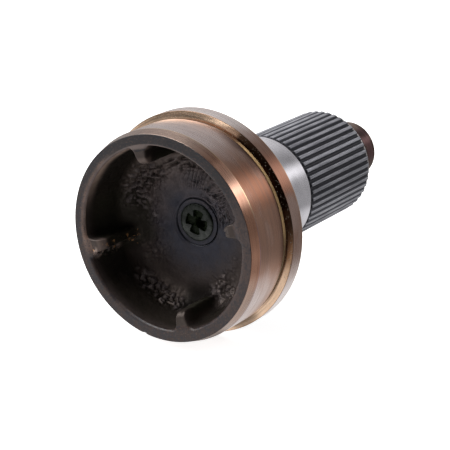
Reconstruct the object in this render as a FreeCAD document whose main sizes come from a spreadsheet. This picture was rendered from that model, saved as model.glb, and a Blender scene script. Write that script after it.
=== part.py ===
"""Drive shaft stub shaft: a forged tube end head, a splined stem and a centre hole plug.

Millimetres, +Z up. The shaft's axis is +Y, with the cup's mouth towards -Y. The origin is on the axis, in the
plane where the head's shoulder meets the pilot's radius, which is where the end of the drive tube sits.
"""

import FreeCAD, Part
import math
import os

import Sketcher
from FreeCAD import Placement, Rotation, Vector

doc = FreeCAD.newDocument("StubShaft")

# Driving dimensions. A station is a distance along the axis from the tube seat.
DIMENSIONS = [
    ("pilot_d", 110.0),
    ("rim_station", -30.0),
    ("lead_in_length", 5.9),
    ("lead_in_depth", 1.6),
    ("undercut_length", 3.4),
    ("undercut_depth", 1.3),
    ("shoulder_width", 3.35),
    ("shoulder_bevel", 0.55),
    ("shoulder_edge", 0.3),
    ("flange_back", 9.75),
    ("flange_chamfer", 0.5),
    ("neck_d", 92.0),
    ("neck_flare", 2.0),
    ("hub_cone_end", 25.0),
    ("weld_station", 30.0),
    ("rim_width", 6.0),
    ("mouth_chamfer", 1.2),
    ("wall_draft", 3.5),
    ("floor_radius", 9.0),
    ("floor_edge_station", 0.6),
    ("floor_station", 2.3),
    ("rib_count", 4),
    ("rib_phase", 15.8),
    ("rib_height", 9.4),
    ("rib_nose_width", 5.4),
    ("rib_nose_chamfer", 1.0),
    ("rib_root_width", 9.6),
    ("rib_drop", 0.9),
    ("tenon_d", 25.0),
    ("bore_chamfer", 0.6),
    ("collar_length", 5.0),
    ("collar_step", 4.0),
    ("collar_flare", 1.5),
    ("journal_d", 60.0),
    ("journal_end", 66.0),
    ("journal_chamfer", 0.4),
    ("relief_length", 1.8),
    ("spline_end", 132.0),
    ("spline_module", 1.25),
    ("spline_teeth", 46),
    ("spline_angle", 30.0),
    ("spline_shift", 0.45),
    ("spline_tip", 0.45),
    ("spline_root", 0.55),
    ("spline_phase", 6.3),
    ("spline_chamfer", 0.8),
    ("spigot_d", 33.0),
    ("spigot_end", 161.9),
    ("spigot_chamfer", 0.5),
    ("spigot_flare", 1.2),
    ("centre_cone_d", 12.6),
    ("centre_angle", 60.0),
    ("centre_drill_d", 6.3),
    ("centre_drill_depth", 16.0),
    ("plug_flange_d", 20.0),
    ("plug_flange", 0.9),
    ("plug_shank_d", 15.0),
    ("plug_length", 8.0),
    ("plug_mouth_d", 13.0),
    ("plug_well_d", 7.4),
    ("plug_well_depth", 6.0),
    ("plug_cone_depth", 3.2),
    ("plug_lobe_d", 3.6),
    ("plug_lobe_offset", 4.3),
    ("plug_lobe_depth", 5.0),
    ("plug_lobes", 4),
]

# Radii and stations that follow from them. A name that ends in _r is a radius.
FOLLOWING = [
    ("pilot_r", "pilot_d / 2"),
    ("rim_r", "pilot_r - lead_in_depth"),
    ("lead_in_end", "rim_station + lead_in_length"),
    ("undercut_start", "-undercut_length"),
    ("undercut_foot", "undercut_start + undercut_depth"),
    ("undercut_r", "pilot_r - undercut_depth"),
    ("shoulder_foot", "-shoulder_edge"),
    ("flange_r", "pilot_r + shoulder_width"),
    ("shoulder_rim_r", "flange_r - shoulder_edge"),
    ("shoulder_top", "shoulder_bevel + shoulder_edge"),
    ("flange_edge", "flange_back - flange_chamfer"),
    ("flange_edge_r", "flange_r - flange_chamfer"),
    ("neck_r", "neck_d / 2"),
    ("neck_flare_r", "neck_r + neck_flare"),
    ("neck_start", "flange_back + neck_flare"),
    ("journal_r", "journal_d / 2"),
    ("hub_r", "journal_r + collar_step"),
    ("mouth_r", "rim_r - rim_width"),
    ("mouth_edge_r", "mouth_r + mouth_chamfer"),
    ("mouth_edge", "rim_station + mouth_chamfer"),
    ("foot_r", "mouth_r - wall_draft"),
    ("tenon_r", "tenon_d / 2"),
    ("bore_edge", "floor_station + bore_chamfer"),
    ("bore_edge_r", "tenon_r + bore_chamfer"),
    ("rib_top", "rim_station + rib_drop"),
    ("rib_length", "floor_station - rib_top"),
    ("rib_nose_r", "mouth_r - rib_height"),
    ("rib_cheek_r", "rib_nose_r + rib_nose_chamfer"),
    ("rib_flat_width", "rib_nose_width - 2 * rib_nose_chamfer"),
    ("rib_outer_r", "(mouth_r + rim_r) / 2"),
    ("tenon_edge_r", "tenon_r - bore_chamfer"),
    ("collar_end", "weld_station + collar_length"),
    ("collar_foot", "collar_end + collar_flare"),
    ("collar_foot_r", "journal_r + collar_flare"),
    ("journal_edge", "journal_end - journal_chamfer"),
    ("journal_edge_r", "journal_r - journal_chamfer"),
    ("relief_middle", "journal_end + relief_length / 2"),
    ("spline_start", "journal_end + relief_length"),
    ("pitch_r", "spline_module * spline_teeth / 2"),
    ("tip_r", "pitch_r + spline_module * (spline_shift + spline_tip)"),
    ("root_r", "pitch_r + spline_module * (spline_shift - spline_root)"),
    ("space_top", "tip_r + spline_module"),
    ("space_length", "spline_end - relief_middle"),
    ("base_r", "pitch_r * cos(spline_angle)"),
    ("flank_r", "pitch_r * sin(spline_angle)"),
    ("space_half_angle", "90 / spline_teeth - 360 / pi * spline_shift * tan(spline_angle) / spline_teeth"),
    ("flank_x", "base_r * sin(space_half_angle + spline_angle)"),
    ("flank_y", "base_r * cos(space_half_angle + spline_angle)"),
    ("spline_edge", "spline_end - spline_chamfer"),
    ("spline_edge_r", "tip_r - spline_chamfer"),
    ("spigot_r", "spigot_d / 2"),
    ("spigot_foot", "spline_end + spigot_flare"),
    ("spigot_foot_r", "spigot_r + spigot_flare"),
    ("spigot_edge", "spigot_end - spigot_chamfer"),
    ("spigot_edge_r", "spigot_r - spigot_chamfer"),
    ("centre_cone_r", "centre_cone_d / 2"),
    ("centre_drill_r", "centre_drill_d / 2"),
    ("centre_cone_foot", "spigot_end - (centre_cone_r - centre_drill_r) / tan(centre_angle / 2)"),
    ("centre_foot", "spigot_end - centre_drill_depth"),
    ("front_centre_foot", "floor_station + centre_drill_depth"),
    ("plug_face", "floor_station - plug_flange"),
    ("plug_end", "floor_station + plug_length"),
    ("plug_flange_r", "plug_flange_d / 2"),
    ("plug_shank_r", "plug_shank_d / 2"),
    ("plug_mouth_r", "plug_mouth_d / 2"),
    ("plug_well_r", "plug_well_d / 2"),
    ("plug_cone_foot", "floor_station + plug_cone_depth"),
    ("plug_well_foot", "floor_station + plug_well_depth"),
    ("plug_lobe_r", "plug_lobe_d / 2"),
]

# The least metal, in cubic millimetres, that a cut has to take.
LEAST_CUT = 0.1

AXIS = "axis"

sheet = doc.addObject("Spreadsheet::Sheet", "Dimensions")
for row, (name, value) in enumerate(DIMENSIONS, start=1):
    sheet.set(f"A{row}", name)
    sheet.set(f"B{row}", str(value))
    sheet.setAlias(f"B{row}", name)
for row, (name, formula) in enumerate(FOLLOWING, start=1):
    sheet.set(f"D{row}", name)
    sheet.set(f"E{row}", f"={formula}")
    sheet.setAlias(f"E{row}", name)
doc.recompute()


def size(name):
    """Value of one cell of the sheet. The shaft's axis is at radius zero."""
    return 0.0 if name == AXIS else float(sheet.get(name))


def origin_feature(body, role):
    """One of the body's own origin planes or axes."""
    return next(item for item in body.Origin.OriginFeatures if item.Role == role)


def new_body(name):
    """A body whose label names its node and file."""
    body = doc.addObject("PartDesign::Body", name)
    body.Label = name
    body.Placement = Placement(Vector(0, 0, 0), Rotation())
    return body


def new_sketch(body, name, role):
    """A sketch on one of the body's origin planes."""
    sketch = body.newObject("Sketcher::SketchObject", name)
    sketch.AttachmentSupport = [(origin_feature(body, role), "")]
    sketch.MapMode = "FlatFace"
    return sketch


def cross_sketch(body, name, station, turn):
    """A sketch square to the axis at one station. Its own X points to +X, turned by an angle towards +Z."""
    sketch = new_sketch(body, name, "XZ_Plane")
    sketch.AttachmentOffset = Placement(Vector(0, 0, -size(station)), Rotation(Vector(0, 0, 1), turn))
    sketch.setExpression("AttachmentOffset.Base.z", f"-Dimensions.{station}")
    return sketch


def recompute():
    """Recompute, and stop at the first object that didn't build."""
    doc.recompute()
    for item in doc.Objects:
        if "Invalid" in item.State or "Error" in item.State:
            raise RuntimeError(f"{item.Label} did not build: {item.State}")


def drive(sketch, label, cell, kind, *places):
    """Add a dimension to a sketch and drive it from one cell."""
    index = sketch.addConstraint(Sketcher.Constraint(kind, *places, size(cell)))
    sketch.renameConstraint(index, label)
    sketch.setExpression(f"Constraints.{label}", f"Dimensions.{cell}")


def tie(sketch, kind, *places):
    """Add a constraint that has no size."""
    sketch.addConstraint(Sketcher.Constraint(kind, *places))


def place_corner(sketch, label, geometry, x, y):
    """Drive a point's radius and station. A point on the axis is held there."""
    if x == AXIS:
        tie(sketch, "PointOnObject", geometry, 1, -2)
    else:
        drive(sketch, f"r{label}", x, "DistanceX", -1, 1, geometry, 1)
    drive(sketch, f"s{label}", y, "DistanceY", -1, 1, geometry, 1)


def rounding(before, corner, after, radius):
    """Ends and centre of the arc that rounds a corner."""
    back = (before - corner).normalize()
    ahead = (after - corner).normalize()
    half = back.getAngle(ahead) / 2
    reach = radius / math.tan(half)
    middle = (back + ahead).normalize()
    return corner + back * reach, corner + ahead * reach, corner + middle * (radius / math.sin(half))


def profile(body, name, corners):
    """Closed half section in the XY plane, where X is the radius and Y the station.

    Each corner names the cells of its radius and station. A third cell is the radius that it is rounded to.
    """
    sketch = new_sketch(body, name, "XY_Plane")
    points = [Vector(size(corner[0]), size(corner[1]), 0) for corner in corners]
    count = len(points)
    starts, ends, arcs = list(points), list(points), {}
    for index, corner in enumerate(corners):
        if len(corner) > 2:
            around = points[index - 1], points[index], points[(index + 1) % count]
            ends[index], starts[index], centre = rounding(*around, size(corner[2]))
            arcs[index] = centre
    for index in range(count):
        sketch.addGeometry(Part.LineSegment(starts[index], ends[(index + 1) % count]), False)
    for index, corner in enumerate(corners):
        if index not in arcs:
            tie(sketch, "Coincident", index - 1 if index else count - 1, 2, index, 1)
            place_corner(sketch, index, index, corner[0], corner[1])
    for index, centre in arcs.items():
        radius = size(corners[index][2])
        spokes = [math.atan2(end.y - centre.y, end.x - centre.x) for end in (ends[index], starts[index])]
        turned = (spokes[1] - spokes[0]) % (2 * math.pi) < math.pi
        first, last = spokes if turned else reversed(spokes)
        circle = Part.Circle(centre, Vector(0, 0, 1), radius)
        arc = sketch.addGeometry(Part.ArcOfCircle(circle, first, last), False)
        corner_point = sketch.addGeometry(Part.Point(points[index]), True)
        tie(sketch, "Tangent", index - 1, 2, arc, 1 if turned else 2)
        tie(sketch, "Tangent", index, 1, arc, 2 if turned else 1)
        tie(sketch, "PointOnObject", corner_point, 1, index - 1)
        tie(sketch, "PointOnObject", corner_point, 1, index)
        place_corner(sketch, index, corner_point, corners[index][0], corners[index][1])
        drive(sketch, f"round{index}", corners[index][2], "Radius", arc)
    return sketch


def revolve(body, name, sketch):
    """Turn a half section once round the axis."""
    turned = body.newObject("PartDesign::Revolution", name)
    turned.Profile = sketch
    turned.ReferenceAxis = (sketch, ["V_Axis"])
    turned.Angle = 360
    recompute()


def cut(body, kind, name, sketch, before, length=None):
    """Groove or pocket, which has to take metal."""
    feature = body.newObject(kind, name)
    feature.Profile = sketch
    if length:
        feature.Length = size(length)
        feature.setExpression("Length", f"Dimensions.{length}")
    else:
        feature.ReferenceAxis = (sketch, ["V_Axis"])
        feature.Angle = 360
    recompute()
    if before - feature.Shape.Volume < LEAST_CUT:
        raise RuntimeError(f"{name} took no metal")
    return feature


def repeat(body, name, feature, occurrences):
    """Repeat a feature evenly round the axis."""
    pattern = body.newObject("PartDesign::PolarPattern", name)
    pattern.Originals = [feature]
    pattern.Axis = (origin_feature(body, "Y_Axis"), [""])
    pattern.Angle = 360
    pattern.Occurrences = int(size(occurrences))
    pattern.setExpression("Occurrences", f"Dimensions.{occurrences}")
    body.Tip = pattern
    recompute()


def make_head():
    """Forged cup with its pilot, flange and rear hub, bored for the stem's tenon."""
    body = new_body("tube_end_head")
    corners = [
        ("mouth_edge_r", "rim_station"),
        ("rim_r", "rim_station"),
        ("pilot_r", "lead_in_end"),
        ("pilot_r", "undercut_start"),
        ("undercut_r", "undercut_foot"),
        ("undercut_r", "shoulder_foot"),
        ("shoulder_rim_r", "shoulder_bevel"),
        ("flange_r", "shoulder_top"),
        ("flange_r", "flange_edge"),
        ("flange_edge_r", "flange_back"),
        ("neck_flare_r", "flange_back"),
        ("neck_r", "neck_start"),
        ("hub_r", "hub_cone_end"),
        ("hub_r", "weld_station"),
        ("tenon_r", "weld_station"),
        ("tenon_r", "bore_edge"),
        ("bore_edge_r", "floor_station"),
        ("foot_r", "floor_edge_station", "floor_radius"),
        ("mouth_r", "mouth_edge"),
    ]
    revolve(body, "HeadForging", profile(body, "HeadSection", corners))
    add_ribs(body)
    return body


def add_ribs(body):
    """Flat-nosed ribs down the cup's wall, from just under the rim into the floor."""
    sketch = cross_sketch(body, "RibSection", "rib_top", size("rib_phase"))
    steps = [("rib_nose_r", "rib_flat_width"), ("rib_cheek_r", "rib_nose_width"), ("rib_outer_r", "rib_root_width")]
    lower = [Vector(size(radius), -size(width) / 2, 0) for radius, width in steps]
    corners = lower + [Vector(corner.x, -corner.y, 0) for corner in reversed(lower)]
    for start, end in zip(corners, corners[1:] + corners[:1]):
        sketch.addGeometry(Part.LineSegment(start, end), False)
    count = len(corners)
    for side in range(count):
        tie(sketch, "Coincident", side, 2, (side + 1) % count, 1)
    for index, (radius, width) in enumerate(steps):
        across = count - 1 - index
        tie(sketch, "Symmetric", index, 1, across, 1, -1)
        drive(sketch, f"r{index}", radius, "DistanceX", -1, 1, index, 1)
        drive(sketch, f"w{index}", width, "DistanceY", index, 1, across, 1)
    pad = body.newObject("PartDesign::Pad", "Rib")
    pad.Profile = sketch
    pad.Reversed = True
    pad.Length = size("rib_length")
    pad.setExpression("Length", "Dimensions.rib_length")
    recompute()
    repeat(body, "Ribs", pad, "rib_count")


def make_stem():
    """Bar with its tenon, collar, ground journal, involute spline and end spigot."""
    body = new_body("splined_stem")
    corners = [
        (AXIS, "floor_station"),
        ("tenon_edge_r", "floor_station"),
        ("tenon_r", "bore_edge"),
        ("tenon_r", "weld_station"),
        ("hub_r", "weld_station"),
        ("hub_r", "collar_end"),
        ("collar_foot_r", "collar_end"),
        ("journal_r", "collar_foot"),
        ("journal_r", "journal_edge"),
        ("journal_edge_r", "journal_end"),
        ("root_r", "journal_end"),
        ("root_r", "spline_start"),
        ("tip_r", "spline_start"),
        ("tip_r", "spline_edge"),
        ("spline_edge_r", "spline_end"),
        ("spigot_foot_r", "spline_end"),
        ("spigot_r", "spigot_foot"),
        ("spigot_r", "spigot_edge"),
        ("spigot_edge_r", "spigot_end"),
        (AXIS, "spigot_end"),
    ]
    revolve(body, "StemBar", profile(body, "StemSection", corners))
    seat = [
        (AXIS, "floor_station"),
        ("plug_shank_r", "floor_station"),
        ("plug_shank_r", "plug_end"),
        ("centre_drill_r", "plug_end"),
        ("centre_drill_r", "front_centre_foot"),
        (AXIS, "front_centre_foot"),
    ]
    end_centre = [
        (AXIS, "spigot_end"),
        ("centre_cone_r", "spigot_end"),
        ("centre_drill_r", "centre_cone_foot"),
        ("centre_drill_r", "centre_foot"),
        (AXIS, "centre_foot"),
    ]
    for name, section in (("PlugSeat", seat), ("EndCentre", end_centre)):
        before = body.Tip.Shape.Volume
        cut(body, "PartDesign::Groove", name, profile(body, f"{name}Section", section), before)
    cut_spline(body)
    return body


def cut_spline(body):
    """Involute tooth spaces, cut from the relief groove to the spline's end.

    Each flank is an arc about a point on the base circle, the involute's own centre of curvature where it crosses
    the pitch circle, so the arc and the involute part by under 0.01 mm over the tooth's height.
    """
    before = body.Tip.Shape.Volume
    pitch = 360 / size("spline_teeth")
    sketch = cross_sketch(body, "ToothSpace", "relief_middle", size("spline_phase") - pitch / 2 - 90)
    centre_x, centre_y, radius = size("flank_x"), size("flank_y"), size("flank_r")
    base, root, top = size("base_r"), size("root_r"), size("space_top")
    to_root = math.acos((root ** 2 + base ** 2 - radius ** 2) / (2 * root * base))
    half_root = math.atan2(centre_x, centre_y) - to_root
    low = Vector(root * math.sin(half_root), root * math.cos(half_root), 0)
    high = Vector(centre_x - math.sqrt(radius ** 2 - (top - centre_y) ** 2), top, 0)
    for side in (1, -1):
        centre = Vector(side * centre_x, centre_y, 0)
        spokes = [math.atan2(end.y - centre_y, side * (end.x - centre_x)) for end in (high, low)]
        first, last = spokes if side > 0 else reversed(spokes)
        circle = Part.Circle(centre, Vector(0, 0, 1), radius)
        sketch.addGeometry(Part.ArcOfCircle(circle, first % (2 * math.pi), last % (2 * math.pi)), False)
    sketch.addGeometry(Part.LineSegment(high, Vector(-high.x, high.y, 0)), False)
    floor = Part.Circle(Vector(0, 0, 0), Vector(0, 0, 1), root)
    sketch.addGeometry(Part.ArcOfCircle(floor, math.pi / 2 - half_root, math.pi / 2 + half_root), False)
    tie(sketch, "Coincident", 0, 1, 2, 1)
    tie(sketch, "Coincident", 2, 2, 1, 2)
    tie(sketch, "Coincident", 1, 1, 3, 2)
    tie(sketch, "Coincident", 3, 1, 0, 2)
    tie(sketch, "Coincident", 3, 3, -1, 1)
    tie(sketch, "Horizontal", 2)
    tie(sketch, "Equal", 0, 1)
    tie(sketch, "Symmetric", 0, 3, 1, 3, -2)
    drive(sketch, "root", "root_r", "Radius", 3)
    drive(sketch, "flank", "flank_r", "Radius", 0)
    drive(sketch, "across", "flank_x", "DistanceX", -1, 1, 0, 3)
    drive(sketch, "along", "flank_y", "DistanceY", -1, 1, 0, 3)
    drive(sketch, "top", "space_top", "DistanceY", -1, 1, 2, 1)
    space = cut(body, "PartDesign::Pocket", "ToothSpaceCut", sketch, before, "space_length")
    repeat(body, "ToothSpaces", space, "spline_teeth")


def make_plug():
    """Flanged plug in the front centre hole, with a coned mouth and lobed well."""
    body = new_body("centre_hole_plug")
    corners = [
        ("plug_mouth_r", "plug_face"),
        ("plug_flange_r", "plug_face"),
        ("plug_flange_r", "floor_station"),
        ("plug_shank_r", "floor_station"),
        ("plug_shank_r", "plug_end"),
        (AXIS, "plug_end"),
        (AXIS, "plug_well_foot"),
        ("plug_well_r", "plug_well_foot"),
        ("plug_well_r", "plug_cone_foot"),
    ]
    revolve(body, "PlugBody", profile(body, "PlugSection", corners))
    before = body.Tip.Shape.Volume
    sketch = cross_sketch(body, "Lobe", "plug_face", size("rib_phase"))
    centre = Vector(size("plug_lobe_offset"), 0, 0)
    sketch.addGeometry(Part.Circle(centre, Vector(0, 0, 1), size("plug_lobe_r")), False)
    tie(sketch, "PointOnObject", 0, 3, -1)
    drive(sketch, "offset", "plug_lobe_offset", "DistanceX", -1, 1, 0, 3)
    drive(sketch, "lobe", "plug_lobe_r", "Radius", 0)
    lobe = cut(body, "PartDesign::Pocket", "LobeCut", sketch, before, "plug_lobe_depth")
    repeat(body, "Lobes", lobe, "plug_lobes")
    return body


pieces = [make_head(), make_stem(), make_plug()]

os.makedirs("parts", exist_ok=True)
for body in pieces:
    shape = body.Shape
    if shape.isNull() or not shape.isValid() or len(shape.Solids) != 1:
        raise RuntimeError(f"{body.Label} has a faulty shape")
    shape.exportStep(f"parts/{body.Label}.step")
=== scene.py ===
import math

import bpy
import numpy as np
from mathutils import Matrix, Vector


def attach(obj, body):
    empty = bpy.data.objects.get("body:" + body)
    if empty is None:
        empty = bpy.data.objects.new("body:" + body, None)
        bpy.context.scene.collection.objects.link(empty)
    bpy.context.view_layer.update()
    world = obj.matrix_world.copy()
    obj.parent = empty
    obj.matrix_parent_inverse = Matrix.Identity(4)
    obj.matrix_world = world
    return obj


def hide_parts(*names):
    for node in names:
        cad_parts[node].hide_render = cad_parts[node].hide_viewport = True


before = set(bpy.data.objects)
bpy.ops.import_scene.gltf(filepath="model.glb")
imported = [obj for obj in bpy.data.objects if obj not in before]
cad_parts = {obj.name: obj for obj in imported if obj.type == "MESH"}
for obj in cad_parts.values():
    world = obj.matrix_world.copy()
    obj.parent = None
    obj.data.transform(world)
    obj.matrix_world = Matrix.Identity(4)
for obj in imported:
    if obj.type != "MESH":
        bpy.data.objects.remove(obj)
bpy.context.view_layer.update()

# Shapes are in millimetres until ring_grid makes the mesh. Materials, floor, lamps and camera are in metres.
# The axis is Y, a station is a distance along it from the tube seat, and an angle goes round the axis from +X
# towards +Z, in degrees.
MM_PER_METRE = 1000.0
RIB_ANGLE = 15.8
TOOTH_ANGLE = 6.3
LOBE_ANGLE = 78.0

RIM_FACE = -30.0
RIM_INSIDE = -28.9
TAPER_END = -24.1
PILOT_R = 55.0
FLANGE_R = 58.35
FLANGE_EDGE = 9.25
HUB_END = 30.0
COLLAR_R = 34.0
TENON_R = 12.5
TENON_FACE = 2.3
PLUG_HOLE_R = 7.5
JOURNAL_R = 30.0
MODULE = 1.25
TEETH = 46
PITCH_R = MODULE * TEETH / 2
TIP_R = PITCH_R + 0.9 * MODULE
ROOT_R = PITCH_R - 0.1 * MODULE
PRESSURE_ANGLE = math.radians(30)
TEETH_END = 132.0
SPIGOT_R = 16.5
SPIGOT_END = 161.9
CENTRE_R = 3.15


# Repeatable noise

def hashed(ix, iy, iz, seed):
    """A repeatable number from 0 to 1 for each corner of a unit lattice."""
    h = (ix * 374761393 + iy * 668265263 + iz * 2147483647 + seed * 1274126177) & 0xFFFFFFFF
    h = ((h ^ (h >> 13)) * 1103515245) & 0xFFFFFFFF
    h = ((h ^ (h >> 16)) * 2246822519) & 0xFFFFFFFF
    return ((h ^ (h >> 15)) & 0xFFFFFF) / float(0xFFFFFF)


def value_noise(x, y, z, wave, seed):
    """Smooth noise from -1 to 1 with features about one wave long."""
    x, y, z = x / wave, y / wave, z / wave
    ix, iy, iz = (np.floor(v).astype(np.int64) for v in (x, y, z))
    fx, fy, fz = x - ix, y - iy, z - iz
    fx, fy, fz = (v * v * v * (v * (v * 6 - 15) + 10) for v in (fx, fy, fz))
    total = 0.0
    for dx in (0, 1):
        for dy in (0, 1):
            for dz in (0, 1):
                weight = (fx if dx else 1 - fx) * (fy if dy else 1 - fy) * (fz if dz else 1 - fz)
                total = total + weight * hashed(ix + dx, iy + dy, iz + dz, seed)
    return total * 2 - 1


def rough_noise(x, y, z, wave, seed, octaves=3):
    """Several octaves of noise."""
    total, size = 0.0, 1.0
    for octave in range(octaves):
        total = total + size * value_noise(x, y, z, wave / 2 ** octave, seed + octave)
        size *= 0.5
    return total


def folds(x, y, z, wave, seed):
    """Sharp crests with soft valleys, as curled scale leaves them."""
    return 1 - 2.2 * np.abs(rough_noise(x, y, z, wave, seed))


def smooth_step(value, low, high):
    """0 below the low value, 1 above the high one, and smooth between. The low value may be the larger."""
    t = np.clip((value - low) / (high - low), 0, 1)
    return t * t * (3 - 2 * t)


def off_angle(angle, middle, period=360.0):
    """Signed angle from the nearest of the middles, which lie one period apart."""
    return (angle - middle + period / 2) % period - period / 2


def bump_at(angle, radius, station, where, spread):
    """A soft patch, 1 at its middle. Its place and spread are angle, radius and station."""
    along = off_angle(angle, where[0]) * math.pi / 180 * np.maximum(radius, 1)
    return np.exp(-(along / spread[0]) ** 2 - ((radius - where[1]) / spread[1]) ** 2
                  - ((station - where[2]) / spread[2]) ** 2)


# Mesh building

def rounded(corners):
    """Points and their slots from corners (radius, station, rounding, slot), with arcs at the rounded ones."""
    points, tags = [], []
    for index, (r, y, rounding, tag) in enumerate(corners):
        here = Vector((r, y))
        if rounding <= 0 or index in (0, len(corners) - 1):
            points.append((r, y))
            tags.append(tag)
            continue
        back = Vector(corners[index - 1][:2]) - here
        ahead = Vector(corners[index + 1][:2]) - here
        reach_back, reach_ahead = back.length, ahead.length
        back.normalize()
        ahead.normalize()
        half = back.angle(ahead) / 2
        reach = min(rounding / math.tan(half), 0.45 * reach_back, 0.45 * reach_ahead)
        radius = reach * math.tan(half)
        centre = here + (back + ahead).normalized() * (radius / math.sin(half))
        first, last = here + back * reach - centre, here + ahead * reach - centre
        turn = first.angle_signed(last)
        steps = 5 if rounding > 1 else 3
        before = tags[-1] if tags else tag
        # A point just outside each end of the arc keeps the smooth shading off the flat faces.
        support = min(0.15, 0.2 * reach_back, 0.2 * reach_ahead)
        points.append(tuple(here + back * (reach + support)))
        tags.append(before)
        start = math.atan2(first.y, first.x)
        for step in range(steps + 1):
            angle = start - turn * step / steps
            points.append((centre.x + radius * math.cos(angle), centre.y + radius * math.sin(angle)))
            tags.append(before if step < steps / 2 else tag)
        points.append(tuple(here + ahead * (reach + support)))
        tags.append(tag)
    return points, tags


def ring_grid(name, x, y, z, slots, row_slots, close_rows=False, centre_start=False, centre_end=False):
    """A mesh from a grid of points: rows along the section, columns closed round the axis. Each row names its slot."""
    rows, columns = x.shape
    order = list(slots)
    points = (np.stack([x, y, z], -1).reshape(-1, 3) / MM_PER_METRE).tolist()
    quads, marks = [], []
    column = np.arange(columns)
    following = (column + 1) % columns
    for row in range(rows if close_rows else rows - 1):
        below, above = row * columns, ((row + 1) % rows) * columns
        quads.append(np.stack([below + column, below + following, above + following, above + column], -1))
        marks += [order.index(row_slots[row])] * columns
    faces = [tuple(quad) for quad in np.concatenate(quads).tolist()]
    for wanted, row, forward in ((centre_start, 0, True), (centre_end, rows - 1, False)):
        if wanted:
            points.append([0.0, float(y[row].mean()) / MM_PER_METRE, 0.0])
            middle = len(points) - 1
            for c in range(columns):
                a, b = row * columns + c, row * columns + (c + 1) % columns
                faces.append((middle, b, a) if forward else (middle, a, b))
                marks.append(order.index(row_slots[row]))
    mesh = bpy.data.meshes.new(name)
    mesh.from_pydata(points, [], faces)
    mesh.polygons.foreach_set("material_index", marks)
    mesh.polygons.foreach_set("use_smooth", [True] * len(faces))
    for material in slots.values():
        mesh.materials.append(material)
    mesh.validate()
    mesh.update()
    piece = bpy.data.objects.new(name, mesh)
    bpy.context.scene.collection.objects.link(piece)
    return piece


# Materials

class Tree:
    """Short calls for building a node tree. A value is a number or another node's socket."""

    def __init__(self, tree):
        self.tree = tree
        tree.nodes.clear()

    def new(self, kind):
        return self.tree.nodes.new("ShaderNode" + kind)

    def put(self, socket, value):
        if isinstance(value, bpy.types.NodeSocket):
            self.tree.links.new(value, socket)
        else:
            socket.default_value = value

    def math(self, operation, a, b=0.0, clamp=False):
        node = self.new("Math")
        node.operation = operation
        node.use_clamp = clamp
        self.put(node.inputs[0], a)
        self.put(node.inputs[1], b)
        return node.outputs[0]

    def times(self, value, *factors):
        for factor in factors:
            value = self.math("MULTIPLY", value, factor)
        return value

    def plus(self, a, b, clamp=False):
        return self.math("ADD", a, b, clamp)

    def minus(self, a, b, clamp=False):
        return self.math("SUBTRACT", a, b, clamp)

    def larger(self, a, b):
        return self.math("MAXIMUM", a, b)

    def span(self, value, low, high, out_low=0.0, out_high=1.0):
        """A smooth change from one level to the other while the value goes from low to high."""
        node = self.new("MapRange")
        node.interpolation_type = "SMOOTHSTEP"
        for socket, amount in zip(node.inputs[:5], (value, low, high, out_low, out_high)):
            self.put(socket, amount)
        return node.outputs[0]

    def near(self, value, middle, inside, outside, level=1.0):
        """The level while the value is within the inside distance of the middle, and 0 beyond the outside one."""
        return self.span(self.math("ABSOLUTE", self.minus(value, middle)), inside, outside, level, 0.0)

    def dot(self, where, direction):
        node = self.new("VectorMath")
        node.operation = "DOT_PRODUCT"
        self.put(node.inputs[0], where)
        node.inputs[1].default_value = direction
        return node.outputs["Value"]

    def mix_shader(self, share, a, b):
        node = self.new("MixShader")
        for socket, value in zip(node.inputs, (share, a, b)):
            self.put(socket, value)
        return node.outputs[0]


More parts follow.
